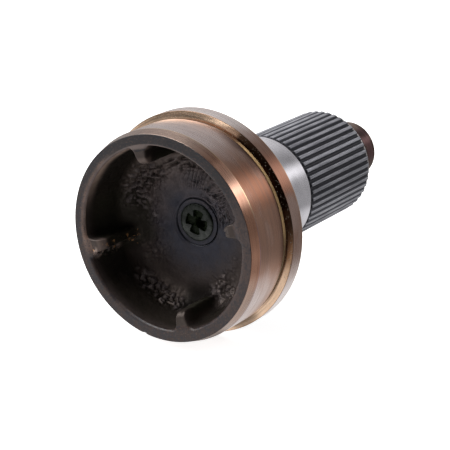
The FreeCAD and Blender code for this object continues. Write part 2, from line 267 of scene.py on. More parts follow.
class Nodes(Tree):
    """The nodes of one material, with the shaded point's place on the part."""

    def __init__(self, name):
        self.material = bpy.data.materials.new(name)
        self.material.use_nodes = True
        super().__init__(self.material.node_tree)
        self.output = self.new("OutputMaterial")
        self.shader = self.new("BsdfPrincipled")
        self.put(self.output.inputs["Surface"], self.shader.outputs[0])
        self.place = self.new("TexCoord").outputs["Object"]
        parts = self.new("SeparateXYZ")
        self.put(parts.inputs[0], self.place)
        self.x, self.station, self.z = parts.outputs
        self.angle = self.math("ARCTAN2", self.z, self.x)
        self.radius = self.math("SQRT", self.plus(self.times(self.x, self.x), self.times(self.z, self.z)))

    def noise(self, where, scale, detail, roughness):
        node = self.new("TexNoise")
        for name, value in (("Vector", where), ("Scale", scale), ("Detail", detail), ("Roughness", roughness)):
            self.put(node.inputs[name], value)
        return node.outputs[0]

    def stretched(self, places, scales, detail, roughness):
        """Noise with its own scale along each of three places."""
        node = self.new("CombineXYZ")
        for socket, place, scale in zip(node.inputs, places, scales):
            self.put(socket, self.times(place, scale))
        return self.noise(node.outputs[0], 1.0, detail, roughness)

    def ringed(self, across, around, detail, roughness):
        """Noise drawn out round the axis."""
        return self.stretched((self.station, self.radius, self.angle), (across, across, around), detail, roughness)

    def mix(self, a, b, *shares):
        """The second colour over the first, by the product of the shares."""
        node = self.new("Mix")
        node.data_type = "RGBA"
        self.put(node.inputs[0], self.times(*shares))
        for socket, colour in ((node.inputs[6], a), (node.inputs[7], b)):
            self.put(socket, colour if isinstance(colour, bpy.types.NodeSocket) else (*colour, 1.0))
        return node.outputs[2]

    def toward(self, angle):
        """1 straight towards an angle round the axis and -1 away from it."""
        x = self.times(self.x, math.cos(math.radians(angle)))
        z = self.times(self.z, math.sin(math.radians(angle)))
        return self.math("DIVIDE", self.plus(x, z), self.radius)

    def round_to(self, low, high, out_low=0.0, out_high=1.0):
        """A smooth change from one level to the other while the angle goes from low to high."""
        return self.span(self.angle, math.radians(low), math.radians(high), out_low, out_high)

    def attribute(self, name):
        node = self.new("Attribute")
        node.attribute_name = name
        return node.outputs["Fac"]

    def bump(self, height, strength, distance, normal=None):
        node = self.new("Bump")
        for name, value in (("Height", height), ("Strength", strength), ("Distance", distance)):
            self.put(node.inputs[name], value)
        if normal is not None:
            self.put(node.inputs["Normal"], normal)
        return node.outputs[0]

    def stretch(self, amount):
        """Spread the gloss along the axis, across the turning marks."""
        tangent = self.new("Tangent")
        tangent.direction_type, tangent.axis = "RADIAL", "Y"
        for name, value in (("Tangent", tangent.outputs[0]), ("Anisotropic", amount), ("Anisotropic Rotation", 0.25)):
            self.put(self.shader.inputs[name], value)

    def finish(self, colour, roughness, metallic, normal, specular=None, tint=None):
        for name, value in (("Base Color", colour), ("Roughness", roughness), ("Metallic", metallic),
                            ("Normal", normal), ("Specular IOR Level", specular), ("Specular Tint", tint)):
            if value is not None:
                self.put(self.shader.inputs[name], value)
        return self.material


def turned_steel(name, grey, brown, deep, rough, ring_depth, stain=0.5, metallic=1.0, edge_low=None, edge_high=None,
                 edge_highlight_colour=(0.75, 0.52, 0.33), edge_gold_highlight=None, stain_from=None, painted_dark_side=False, shade_above=None,
                 copper_highlight=None, painted_highlight_and_shade=False):
    """Turned steel with fine rings round the axis, heat tints and stains. Painted highlight lines mark its two edges,
    and the options paint more light and shade.
    """
    burnt, pale_top_light = (0.15, 0.068, 0.042), (0.40, 0.325, 0.315)
    highlight_pink, taper_top_shade = (0.85, 0.50, 0.37), (0.22, 0.155, 0.13)
    fillet_top_shade, fillet_foot_shade = (0.16, 0.085, 0.05), (0.26, 0.165, 0.09)
    soot_and_shade, bare = (0.05, 0.028, 0.016), (0.30, 0.26, 0.22)
    n = Nodes(name)
    rings = n.ringed(5200.0, 2.2, 4.0, 0.65)
    streaks = n.ringed(900.0, 1.6, 3.0, 0.5)
    patches = n.ringed(70.0, 2.6, 3.0, 0.55)
    specks = n.noise(n.place, 900.0, 2.0, 0.5)
    # The side from -27 to 76 degrees took the brown heat tint; this side colour is also painted shade, with the paler
    # sheen painted on the other sides.
    warm = n.times(n.round_to(-27, -4), n.round_to(46, 76, 1.0, 0.0))
    colour = n.mix(grey, brown, n.plus(warm, n.span(patches, 0.35, 0.65, -0.22, 0.22), clamp=True))
    # Painted highlight: a copper tint round 35 degrees, where the strip light shows.
    if copper_highlight is not None:
        colour = n.mix(colour, copper_highlight, n.span(n.toward(35), 0.965, 0.995), n.span(patches, 0.3, 0.6, 0.45, 0.85))
    colour = n.mix(colour, deep, n.span(streaks, 0.42, 0.68), stain)
    colour = n.mix(colour, deep, n.span(specks, 0.66, 0.78), 0.6)
    if stain_from is not None:
        # The stain's front edge is an arch over 64 degrees.
        side = n.math("ABSOLUTE", n.minus(n.angle, math.radians(64)))
        arch = n.plus(n.span(side, 0.05, 0.5, 0.0022, -0.0022), n.span(patches, 0.3, 0.7, -0.001, 0.001))
        stained = n.span(n.plus(n.station, arch), stain_from / MM_PER_METRE, -0.003)
        colour = n.mix(colour, burnt, stained, 0.75)
        # Painted light: paler towards the top.
        colour = n.mix(colour, pale_top_light, n.span(n.z, 0.040, 0.054, 0.0, 0.6))
    # Painted highlight lines at the edges, turning gold past 14 to 30 degrees where a gold colour is given.
    for edge in (edge_low, edge_high):
        if edge is not None:
            shade = edge_highlight_colour if edge_gold_highlight is None else n.mix(edge_highlight_colour, edge_gold_highlight, n.round_to(14, 30))
            colour = n.mix(colour, shade, n.near(n.station, edge / MM_PER_METRE, 0.0, 0.0005), 0.85)
    if painted_highlight_and_shade:
        # Painted highlight in pink round 45 degrees, and painted shade towards the top.
        colour = n.mix(colour, highlight_pink, n.span(n.toward(45), 0.978, 0.995, 0.0, 0.7))
        colour = n.mix(colour, taper_top_shade, n.span(n.z, 0.043, 0.050, 0.0, 0.6))
    if shade_above is not None:
        # Painted shade: darker above the given height and towards the bottom.
        middle = shade_above / MM_PER_METRE
        colour = n.mix(colour, fillet_top_shade, n.span(n.z, middle - 0.003, middle + 0.003))
        colour = n.mix(colour, fillet_foot_shade, n.span(n.z, 0.010, -0.004))
    if painted_dark_side:
        # Painted shade: a near-black band round 40 degrees; the light flecks are bare metal.
        colour = n.mix(colour, soot_and_shade, n.span(n.toward(40), 0.916, 0.934, 0.0, 0.85))
        flecks = n.span(n.noise(n.place, 1500.0, 2.0, 0.5), 0.64, 0.70)
        colour = n.mix(colour, bare, flecks)
        metallic = n.minus(metallic, flecks, clamp=True)
    roughness = n.plus(n.span(rings, 0.3, 0.7, -0.05, 0.05), n.span(patches, 0.3, 0.7, rough, rough + 0.06))
    n.stretch(0.55)
    return n.finish(colour, roughness, metallic, n.bump(rings, 0.35, ring_depth))


def forged_scale(name, rough):
    """Dark forging scale: blue-grey and smooth in the dish's middle, browner and coarser towards the wall, with painted
    light, shade and highlights.
    """
    blue, light = (0.010, 0.0105, 0.020), (0.052, 0.039, 0.041)
    upper_side_light, soot_and_shade = (0.090, 0.066, 0.060), (0.016, 0.011, 0.012)
    gap, shaded_low_wall, lit_high_wall = (0.003, 0.004, 0.008), (0.034, 0.026, 0.0245), (0.056, 0.042, 0.035)
    side, mouth, mouth_highlight = (0.0140, 0.0115, 0.0090), (0.036, 0.028, 0.026), (0.34, 0.245, 0.20)
    deep, shade, rust = (0.0075, 0.0062, 0.0055), (0.021, 0.0195, 0.0135), (0.030, 0.018, 0.012)
    orange, rib_highlight_colour, tip_highlight = (0.36, 0.19, 0.085), (0.34, 0.25, 0.21), (0.15, 0.11, 0.095)
    crest_highlight, crease_shade = (0.096, 0.080, 0.080), (0.003, 0.0026, 0.002)
    cool_gloss, warm_gloss, dull_gloss = (0.88, 0.87, 1.0), (1.0, 0.80, 0.70), (0.40, 0.40, 0.34)
    n = Nodes(name)
    lumps = n.noise(n.place, 330.0, 5.0, 0.62)
    grain = n.noise(n.place, 1500.0, 3.0, 0.6)
    clouds = n.noise(n.place, 60.0, 3.0, 0.5)
    mottle = n.noise(n.place, 230.0, 3.0, 0.6)
    pits = n.noise(n.place, 260.0, 4.0, 0.7)
    spots = n.noise(n.place, 430.0, 3.0, 0.6)
    highlight_breakup = n.noise(n.place, 300.0, 4.0, 0.65)
    upper = n.toward(95)
    lit_side = n.span(upper, -0.3, 0.6)
    wall = n.span(n.minus(n.radius, n.times(lit_side, 0.008)), 0.018, 0.038)
    # The dish, with painted light on its upper side
    colour = n.mix(blue, light, lit_side, n.span(clouds, 0.3, 0.62))
    colour = n.mix(colour, upper_side_light, lit_side, n.span(n.radius, 0.0155, 0.021), n.span(clouds, 0.3, 0.6, 0.5, 1.0), 0.7)
    colour = n.mix(colour, soot_and_shade, n.span(mottle, 0.45, 0.62), 0.6)
    joint = n.larger(n.near(n.radius, 0.0126, 0.0003, 0.0009), n.span(n.radius, 0.0112, 0.0103))
    colour = n.mix(colour, gap, joint, 0.9)
    # The wall, lighter on its upper side as painted light, its mouth, and a painted highlight, partly wear, on the
    # mouth's upper edge
    colour = n.mix(colour, n.mix(shaded_low_wall, lit_high_wall, n.span(upper, 0.0, 0.8)), wall)
    colour = n.mix(colour, side, n.span(n.station, -0.001, -0.009))
    at_mouth = n.span(n.station, -0.0225, -0.0285)
    colour = n.mix(colour, mouth, at_mouth, n.span(clouds, 0.3, 0.6, 0.6, 1.0))
    # Painted highlight, partly wear, on the mouth's upper edge.
    wear_and_highlight = n.times(n.span(n.z, 0.002, 0.026), at_mouth, n.span(n.radius, 0.0447, 0.0462))
    wear_and_highlight = n.times(wear_and_highlight, n.span(n.toward(118), 0.1, 0.75, 0.25, 1.0))
    colour = n.mix(colour, mouth_highlight, wear_and_highlight, n.span(clouds, 0.3, 0.6, 0.5, 1.0))
    # Painted shade in the deep corners by the top and bottom ribs, then on the rib noses and the left wall
    foot = n.times(n.span(n.toward(-84), 0.955, 0.997), n.span(n.radius, 0.029, 0.039))
    foot = n.times(foot, n.span(n.station, -0.012, -0.006))
    recess = n.times(n.span(n.toward(90), 0.972, 0.990), n.span(n.radius, 0.034, 0.037))
    corner_shade = n.larger(foot, recess)
    colour = n.mix(colour, deep, corner_shade, 0.85)
    nose = n.times(n.span(n.radius, 0.0428, 0.0408), n.span(n.station, -0.0235, -0.0205))
    nose = n.times(nose, n.span(n.station, -0.001, -0.006))
    left = n.times(n.span(n.toward(-174), 0.90, 0.96), n.span(n.radius, 0.025, 0.031), 0.7)
    dim = n.larger(nose, n.times(left, n.span(n.station, -0.026, -0.020)))
    colour = n.mix(colour, shade, dim, 0.85)
    # Rust, the left rib's flecks, a painted highlight on its side, and painted highlights on the rib tips
    colour = n.mix(colour, rust, n.span(pits, 0.55, 0.75), 0.35)
    near_rib = n.times(n.near(n.z, -0.0135, 0.0025, 0.005), n.span(n.x, -0.036, -0.034, 1.0, 0.0))
    colour = n.mix(colour, orange, n.span(spots, 0.61, 0.65), near_rib)
    rib_flank_highlight = n.times(n.near(n.z, -0.0158, 0.0015, 0.0045), n.span(n.x, -0.0385, -0.0415))
    rib_flank_highlight = n.times(rib_flank_highlight, n.span(n.station, -0.006, -0.014))
    colour = n.mix(colour, rib_highlight_colour, rib_flank_highlight, n.span(highlight_breakup, 0.48, 0.60))
    tip = n.times(n.span(n.radius, 0.0422, 0.0402), n.span(n.station, -0.0238, -0.0262))
    colour = n.mix(colour, tip_highlight, tip, n.span(n.toward(140), -0.2, 0.6), 0.6)
    # Curled scale: painted highlights on its crests and painted shade in its creases
    relief = n.attribute("relief")
    crest = n.span(relief, 0.10, 0.42)
    colour = n.mix(colour, crest_highlight, crest, n.span(n.toward(0), 0.55, 0.85, 0.75, 0.38))
    colour = n.mix(colour, crease_shade, n.span(relief, -0.04, -0.32, 0.0, 0.85))
    roughness = n.plus(n.span(wall, 0.0, 1.0, rough, rough + 0.05), n.span(lumps, 0.3, 0.7, -0.06, 0.08))
    roughness = n.minus(roughness, n.times(crest, 0.08))
    normal = n.bump(grain, 0.25, 0.00012, n.bump(lumps, 0.4, 0.0005))
    tint = n.mix(cool_gloss, warm_gloss, n.span(n.radius, 0.015, 0.034))
    # Duller and weaker gloss in the painted shade.
    tint = n.mix(tint, dull_gloss, n.larger(dim, corner_shade), 0.8)
    gloss = n.minus(0.42, n.plus(n.times(corner_shade, 0.36), n.times(dim, 0.22)), clamp=True)
    return n.finish(colour, roughness, 0.0, normal, gloss, tint)


def rim_scale(name, base, warm):
    """Smooth dark oxide on the rim's face and the rib tops, with painted highlights on the inner edge and the rib tips.
    """
    red, black, speck, pore = (0.070, 0.044, 0.038), (0.010, 0.009, 0.012), (0.115, 0.066, 0.048), (0.010, 0.011, 0.017)
    wear_and_highlight, lip_highlight, tip_highlight = (0.19, 0.115, 0.085), (0.15, 0.110, 0.098), (0.12, 0.088, 0.078)
    n = Nodes(name)
    grain = n.noise(n.place, 1100.0, 4.0, 0.6)
    clouds = n.noise(n.place, 120.0, 3.0, 0.5)
    blotches = n.noise(n.place, 420.0, 3.0, 0.6)
    warmer = n.plus(n.span(clouds, 0.35, 0.65), n.span(blotches, 0.4, 0.6, -0.5, 0.5), clamp=True)
    colour = n.mix(base, warm, warmer)
    right = n.times(n.round_to(-75, -5), n.round_to(30, 46, 1.0, 0.0))
    colour = n.mix(colour, red, right, n.span(blotches, 0.35, 0.6, 0.25, 0.75))
    colour = n.mix(colour, black, n.span(n.z, 0.008, 0.042, 0.0, 0.70))
    # Painted highlight, partly wear, on the inner edge at the left.
    left = n.times(n.span(n.x, -0.022, -0.040), n.span(n.z, -0.020, -0.005))
    colour = n.mix(colour, wear_and_highlight, left, n.span(n.radius, 0.0505, 0.0484), n.span(clouds, 0.3, 0.6, 0.45, 1.0))
    colour = n.mix(colour, speck, n.span(grain, 0.53, 0.68), 0.6)
    colour = n.mix(colour, pore, n.span(grain, 0.47, 0.36), 0.7)
    # Painted highlight on the mouth's upper-left edge.
    lip = n.times(n.span(n.radius, 0.0487, 0.0482), n.span(n.radius, 0.0455, 0.0468))
    lip = n.times(lip, n.span(n.toward(118), 0.25, 0.75))
    colour = n.mix(colour, lip_highlight, lip, n.span(clouds, 0.3, 0.6, 0.5, 0.85))
    # Painted highlight on the rib tips.
    colour = n.mix(colour, tip_highlight, n.span(n.radius, 0.0425, 0.0405), n.span(n.toward(140), -0.2, 0.6), 0.5)
    normal = n.bump(grain, 0.35, 0.0001, n.bump(blotches, 0.3, 0.0003))
    gloss = n.span(n.radius, 0.0455, 0.0475, 0.36, 0.5)
    return n.finish(colour, n.span(blotches, 0.3, 0.7, 0.34, 0.54), 0.0, normal, gloss)


def ground_steel(name, base, rough, ring_depth):
    """Bright ground steel with very fine rings."""
    n = Nodes(name)
    rings = n.ringed(9000.0, 3.0, 3.0, 0.6)
    clouds = n.noise(n.place, 90.0, 2.0, 0.5)
    darker = tuple(c * 0.86 for c in base)
    colour = n.mix(base, darker, n.span(clouds, 0.4, 0.7))
    n.stretch(0.5)
    return n.finish(colour, n.span(rings, 0.3, 0.7, rough - 0.04, rough + 0.05), 1.0, n.bump(rings, 0.25, ring_depth))


def phosphate(name, gap, base, light, rough):
    """Dark phosphated teeth with a fine crystal grain, lighter towards the tips, with painted shade in the roots and
    where the teeth start, and painted highlights on the tip corners.
    """
    bright = (0.62, 0.62, 0.66)
    n = Nodes(name)
    grain = n.noise(n.place, 2600.0, 3.0, 0.6)
    lines = n.stretched((n.x, n.station, n.z), (900.0, 60.0, 900.0), 3.0, 0.6)
    # Painted shade in the tooth roots, lighter towards the tips.
    colour = n.mix(gap, base, n.span(n.radius, 0.02865, 0.02925))
    colour = n.mix(colour, light, n.span(n.radius, 0.02930, 0.02975), n.span(lines, 0.35, 0.65, 0.35, 1.0))
    # Painted highlights on the tip corners, and painted shade before the teeth start.
    past_start = n.span(n.station, 0.0678, 0.0690)
    corner = n.times(n.span(n.radius, 0.02945, 0.02970), n.span(n.radius, 0.02982, 0.02987, 1.0, 0.0), past_start)
    colour = n.mix(colour, bright, corner, n.span(lines, 0.3, 0.6, 0.3, 0.9))
    colour = n.mix(gap, colour, past_start)
    return n.finish(colour, n.span(grain, 0.3, 0.7, rough, rough + 0.12), 0.6, n.bump(grain, 0.3, 0.00006))


def plug_plastic(name, base, dark):
    """Dull grey-green plug, mottled, with painted shade towards the top and in its well, and painted glints in the
    well.
    """
    well, well_glint, bottom = (0.0085, 0.0125, 0.0055), (0.06, 0.072, 0.042), (0.0080, 0.0110, 0.0055)
    n = Nodes(name)
    grain = n.noise(n.place, 900.0, 4.0, 0.6)
    clouds = n.noise(n.place, 240.0, 3.0, 0.6)
    colour = n.mix(base, dark, n.span(clouds, 0.42, 0.66))
    # Painted shade: darker towards the top.
    colour = n.mix(colour, dark, n.span(n.z, -0.006, 0.004, 0.0, 0.7))
    # Painted shade in the sunk well and the deeper hole, with painted glints in the well.
    sunk = n.span(n.station, 0.0017, 0.0021)
    colour = n.mix(colour, well, sunk)
    colour = n.mix(colour, well_glint, sunk, n.span(grain, 0.60, 0.70, 0.0, 0.6))
    colour = n.mix(colour, bottom, n.span(n.station, 0.0037, 0.0045))
    # Painted light and shade in the gloss: glossier towards the bottom, little gloss in the well.
    gloss = n.times(n.span(n.z, -0.007, 0.005, 0.62, 0.26), n.minus(1.0, n.times(sunk, 0.88)))
    return n.finish(colour, n.span(clouds, 0.3, 0.7, 0.22, 0.42), 0.0, n.bump(grain, 0.35, 0.0002), gloss)


# Tube end head

# Patches of curled scale: place and spread as angle, radius and station, then height.
CURLED = (
    ((148, 37, 0), (10, 6, 7), 1.15),
    ((164, 38, -1), (9, 6, 7), 0.95),
    ((201, 46, -20), (3.5, 4, 9), 0.8),
    ((22, 42, -27), (9, 6, 5), 0.55),
    ((232, 44, -5), (7, 4, 5), 0.7),
    ((245, 44, -5), (7, 4, 5), 0.9),
    ((258, 44, -5), (8, 4, 5), 1.0),
    ((298, 37.5, 0), (7, 6, 7), 1.0),
    ((325, 31, 1), (8, 4, 5), 0.3),
    ((137, 32, 1), (7, 5, 6), 0.6),
    ((178, 27, 1.5), (10, 6, 5), 0.3),
    ((214, 33, 0), (9, 6, 6), 0.35),
)


def head_columns():
    """Angles round the head, closer together across each rib."""
    fine = np.arange(-7.0, 7.0, 0.28)
    coarse = np.linspace(7.0, 83.0, 128, endpoint=False)
    quarter = np.concatenate([fine, coarse])
    return np.concatenate([quarter + 90 * k for k in range(4)]) + RIB_ANGLE


def join_round(a, b, radius):
    """Distance to two joined solids with a fillet between them."""
    u, v = np.maximum(radius - a, 0), np.maximum(radius - b, 0)
    return np.maximum(radius, np.minimum(a, b)) - np.hypot(u, v)


def meet_round(a, b, radius):
    """Distance to what two solids share, with a rounded edge."""
    u, v = np.maximum(radius + a, 0), np.maximum(radius + b, 0)
    return np.minimum(-radius, np.maximum(a, b)) + np.hypot(u, v)


def cup_distance(r, y, angle):
    """Distance from a point in the cup to its wall, floor and ribs. It is positive in the air."""
    wall = 47.4 - (y + 28.8) * 3.5 / 29.4 - r
    floor = TENON_FACE - (r - 13.1) * 1.7 / 30.8 - y
    inside = join_round(wall, floor, 9.0)
    turn = np.radians(off_angle(angle, RIB_ANGLE, 90.0))
    along, across = r * np.cos(turn), np.abs(r * np.sin(turn))
    nose = 39.2
    width = 1.4 + np.maximum(along - nose, 0) * 0.2
    rib = np.hypot(np.maximum(nose - along, 0), np.maximum(across - width, 0)) - 1.2
    top = -29.9 + 3.0 * np.clip((42.4 - along) / 4.4, 0, 1) ** 2
    rib = meet_round(rib, top - y, 0.9)
    solid = join_round(inside, rib, 3.0)
    return meet_round(solid, RIM_FACE - y, 1.4)


def cup_surface(angles):
    """Points on the cup's inside, one row for each direction from a point in front of it."""
    start_r, start_y = 5.0, -42.0
    first, last = math.degrees(math.atan2(12.0, 44.4)), math.degrees(math.atan2(44.3, 8.1))
    tilt = np.concatenate([np.linspace(first, 24, 36, endpoint=False), np.linspace(24, 58, 84, endpoint=False),
                           np.linspace(58, last, 56)])
    tilt = np.radians(tilt)[:, None]
    angle = np.broadcast_to(angles[None, :], (len(tilt), len(angles)))
    distance = np.full(angle.shape, 14.0)
    for _ in range(90):
        r, y = start_r + distance * np.cos(tilt), start_y + distance * np.sin(tilt)
        distance = distance + 0.8 * cup_distance(r, y, angle)
    return start_r + distance * np.cos(tilt), start_y + distance * np.sin(tilt), angle


def forging_relief(x, y, z, r, angle):
    """How far the forged surface stands out of its plain form, and the part of it that is curled scale."""
    flat = np.zeros_like(r)
    wall = smooth_step(r, 24, 40)
    relief = 0.20 * rough_noise(x, y, z, 13.0, 1) * (0.35 + wall)
    relief += 0.06 * rough_noise(x, y, z, 3.4, 11) * (0.3 + wall)
    curl = 2.1 * np.abs(rough_noise(x, y, z, 2.9, 37, 2)) - 0.45
    fine = flat
    for where, spread, height in CURLED:
        fine = fine + height * bump_at(angle, r, y, where, spread) * curl
    streaks = folds(np.radians(angle) * 9, r, flat, 2.3, 83)
    fine = fine + 0.6 * bump_at(angle, r, y, (104, 32, 1), (14, 5, 6)) * streaks
    # Radial wrinkles where the metal flowed out of the dish into the wall.
    lean = 5.0 * value_noise(x, y, z, 7.0, 51)
    fan = np.exp(-(off_angle(angle, 66) / 46) ** 4) * smooth_step(r, 16, 20) * (1 - smooth_step(r, 31, 37))
    wave = np.sin(np.radians((angle + lean * 0.9 + r * 0.8) * 64))
    fine += 0.36 * fan * (wave + 0.7 * folds(x, y, z, 2.2, 57)) * (0.6 + 0.5 * value_noise(x, y, z, 5, 61))
    # A curled lip beside the plug, with low folds behind it.
    lip_line = 14.3 + 0.7 * value_noise(angle * 0.09, flat, flat, 1.0, 77)
    lip = np.exp(-((r - lip_line) / 0.55) ** 2) - 0.9 * np.exp(-((r - lip_line + 1.1) / 0.6) ** 2)
    behind = smooth_step(r, lip_line, lip_line + 1.5) * (1 - smooth_step(r, 19.5, 24))
    scribble = folds(np.radians(angle) * 10, r, flat, 2.4, 73)
    fine += np.exp(-(off_angle(angle, 38) / 38) ** 4) * (0.6 * lip + 0.55 * behind * scribble)
    return relief + fine, fine


def outline_head():
    """Outside of the head from the rim's inner edge round to the weld plane, then the bore to the floor."""
    return rounded([
        (49.5, RIM_FACE, 0, "rim"),
        (53.4, RIM_FACE, 0.35, "taper"),
        (PILOT_R, TAPER_END, 0.3, "pilot"),
        (PILOT_R, -3.4, 0.25, "under"),
        (53.7, -2.1, 0.8, "under"),
        (53.7, -1.1, 0, "fillet"),
        (53.7, -0.3, 0.45, "fillet"),
        (54.45, -0.153, 0, "shoulder"),
        (58.2, 0.58, 0.1, "under"),
        (FLANGE_R, 0.73, 0.1, "flange"),
        (FLANGE_R, FLANGE_EDGE, 0.2, "hub"),
        (57.85, 9.75, 0.2, "hub"),
        (46.0, 9.75, 2.6, "hub"),
        (COLLAR_R, 25.0, 1.5, "hub"),
        (COLLAR_R, HUB_END, 0.2, "hub"),
        (TENON_R, HUB_END, 0, "hub"),
        (TENON_R, 4.0, 0, "scale"),
        (12.52, 2.65, 0.1, "scale"),
        (12.9, TENON_FACE, 0, "scale"),
    ])


def make_head(slots):
    """The forged head: a turned outside, and a cup whose surface carries the forging scale."""
    angles = head_columns()
    points, tags = outline_head()
    r_out, y_out = (np.array(values)[:, None] * np.ones(len(angles)) for values in zip(*points))
    # A small nick in the rim's outer edge.
    nick = np.exp(-(off_angle(angles, 258.8) / 1.1) ** 2)[None, :]
    edge = np.exp(-((y_out - RIM_FACE) / 0.9) ** 2) * smooth_step(r_out, 52.4, 53.3)
    r_out = r_out - 0.55 * nick * edge
    r_in, y_in, angle_in = cup_surface(angles)
    turn = np.radians(angle_in)
    x_in, z_in = r_in * np.cos(turn), r_in * np.sin(turn)
    dr, dy = np.gradient(r_in, axis=0), np.gradient(y_in, axis=0)
    length = np.maximum(np.hypot(dr, dy), 1e-6)
    out_r, out_y = -np.abs(dy) / length, -np.abs(dr) / length
    relief, fine = forging_relief(x_in, y_in, z_in, r_in, angle_in)
    fade = smooth_step(-y_in, 29.9, 27.6) * smooth_step(r_in, 13.12, 13.7)
    r_in = r_in + out_r * relief * fade
    y_in = y_in + out_y * relief * fade
    # A low ring of scale just outside the joint with the stem.
    ring = 0.18 * np.exp(-((r_in - 13.6) / 0.8) ** 2)
    y_in = y_in - ring * (0.6 + 0.6 * value_noise(x_in, y_in, z_in, 4.0, 71)) * (r_in > 13.11)
    y_in = np.maximum(y_in, RIM_FACE)
    # The loop goes out over the rim, along the outside, down the bore and back up the cup.
    r_all = np.concatenate([r_out, r_in[::-1][1:-1]])
    y_all = np.concatenate([y_out, y_in[::-1][1:-1]])
    marks = tags[:-1] + ["rim" if row.mean() < RIM_INSIDE else "scale" for row in y_all[len(tags) - 1:]]
    turn = np.radians(angles)[None, :]
    piece = ring_grid("tube_end_head_detail", r_all * np.cos(turn), y_all, r_all * np.sin(turn), slots, marks,
                      close_rows=True)
    # The shader paints highlights on the scale's crests and shade in its creases, so it needs the height of the curled
    # scale.
    height = np.concatenate([np.zeros(r_out.shape), (fine * fade)[::-1][1:-1]]).ravel()
    piece.data.attributes.new("relief", "FLOAT", "POINT").data.foreach_set("value", height.astype(np.float32))
    # Rib tops carry the rim's finish.
    rim, scale = (list(slots).index(slot) for slot in ("rim", "scale"))
    for polygon in piece.data.polygons:
        if polygon.material_index == scale and polygon.center.y < -0.0250 and polygon.normal.y < -0.3:
            polygon.material_index = rim
    return piece


# Splined stem

def tooth_form():
    """Angles round the spline in radians and the radius at each: tip lands, involute flanks and root lands."""
    base = PITCH_R * math.cos(PRESSURE_ANGLE)
    half_tooth = math.pi / (2 * TEETH) + 2 * 0.45 * math.tan(PRESSURE_ANGLE) / TEETH

    def involute(radius):
        return math.tan(math.acos(base / radius)) - math.acos(base / radius)

    def half_angle(radius):
        return half_tooth + involute(PITCH_R) - involute(radius)

    flank = [ROOT_R + (TIP_R - ROOT_R) * t for t in (0.0, 0.12, 0.3, 0.5, 0.7, 0.88, 1.0)]
    side = [(half_angle(r), r) for r in flank]
    edge, foot = side[-1][0], side[0][0]
    side[-1] = (edge + 0.0006, TIP_R - 0.05)
    side[0] = (foot - 0.0006, ROOT_R + 0.06)
    gap = math.pi / TEETH
    half = [(0.0, TIP_R), (edge * 0.6, TIP_R), (edge - 0.0018, TIP_R)]
    half += [(a, r) for a, r in reversed(side)]
    half += [(foot + 0.002, ROOT_R), (gap * 0.5 + foot * 0.5, ROOT_R), (gap, ROOT_R)]
    angles, radii = [], []
    for tooth in range(TEETH):
        middle = math.radians(TOOTH_ANGLE) + 2 * gap * tooth
        for a, r in reversed(half[1:-1]):
            angles.append(middle - a)
            radii.append(r)
        for a, r in half:
            angles.append(middle + a)
            radii.append(r)
    return np.array(angles), np.array(radii)


def make_stem(slots):
    """The bar from the plug's hole and the tenon's face to the spigot's far end and its centre hole."""
    angles, teeth = tooth_form()
    rows_r, rows_y, marks = [], [], []

    def add(radius, station, slot):
        rows_r.append(radius * np.ones(len(angles)))
        rows_y.append(station)
        marks.append(slot)

    def add_turned(corners):
        for (radius, station), slot in zip(*rounded(corners)):
            add(radius, station, slot)

    add_turned([
        (PLUG_HOLE_R, 10.3, 0, "scale"),
        (PLUG_HOLE_R, TENON_FACE, 0.15, "scale"),
        (9.8, TENON_FACE, 0, "scale"),
        (10.5, TENON_FACE, 0, "scale"),
        (11.1, TENON_FACE, 0, "scale"),
        (11.7, TENON_FACE, 0, "scale"),
        (12.15, TENON_FACE, 0.1, "scale"),
        (12.48, 2.65, 0.1, "scale"),
        (TENON_R, HUB_END, 0, "scale"),
        (COLLAR_R, HUB_END, 0.2, "scale"),
        (COLLAR_R, 35.0, 0.5, "journal"),
        (JOURNAL_R, 35.0, 1.5, "journal"),
        (JOURNAL_R, 65.6, 0.15, "journal"),
        (29.6, 66.0, 0.1, "journal"),
        (ROOT_R, 66.0, 0, "spline"),
        (ROOT_R, 67.8, 0, "spline"),
    ])
    add(np.minimum(teeth, 28.9), 67.8, "spline")
    for inset in (0.5, 0.25, 0.1, 0.0):
        add(np.maximum(np.minimum(teeth, TIP_R - inset), ROOT_R), 67.8 - inset, "spline")
    for station in (75.0, 90.0, 105.0, 120.0, 128.5, 129.8):
        add(teeth, station, "spline")
    # The teeth roll over at their far end, and the bright wear there starts part of the way down.
    for share in (0.0, 0.1, 0.3, 0.5, 0.7, 0.85, 1.0):
        add(np.minimum(teeth, TIP_R - 1.25 * share), 129.9 + 2.0 * share, "spline" if share < 0.5 else "wear_and_highlight")
    add(np.minimum(teeth, 28.5), TEETH_END, "wear_and_highlight")
    add_turned([
        (28.5, TEETH_END, 0, "wear_and_highlight"),
        (27.4, TEETH_END, 0, "spigot"),
        (SPIGOT_R, TEETH_END, 1.3, "spigot"),
        (SPIGOT_R, 161.4, 0.2, "spigot"),
        (16.0, SPIGOT_END, 0.15, "spigot"),
        (6.3, SPIGOT_END, 0.1, "spigot"),
        (CENTRE_R, 156.444, 0.1, "centre"),
        (CENTRE_R, 145.9, 0.1, "centre"),
    ])
    r = np.array(rows_r)
    y = np.array(rows_y)[:, None] * np.ones(len(angles))
    x, z = r * np.cos(angles), r * np.sin(angles)
    # Curled scale on the tenon's face, on the side of the lip in the dish.
    face = (np.abs(y - TENON_FACE) < 0.01) * smooth_step(r, 9.8, 10.3) * (1 - smooth_step(r, 11.8, 12.2))
    side = off_angle(np.degrees(angles), 45)
    y = y - face * np.exp(-(side / 34) ** 4) * 0.3 * np.maximum(folds(x, 0 * y, z, 1.8, 95), 0)
    return ring_grid("splined_stem_detail", x, y, z, slots, marks, centre_start=True, centre_end=True)


# Centre hole plug

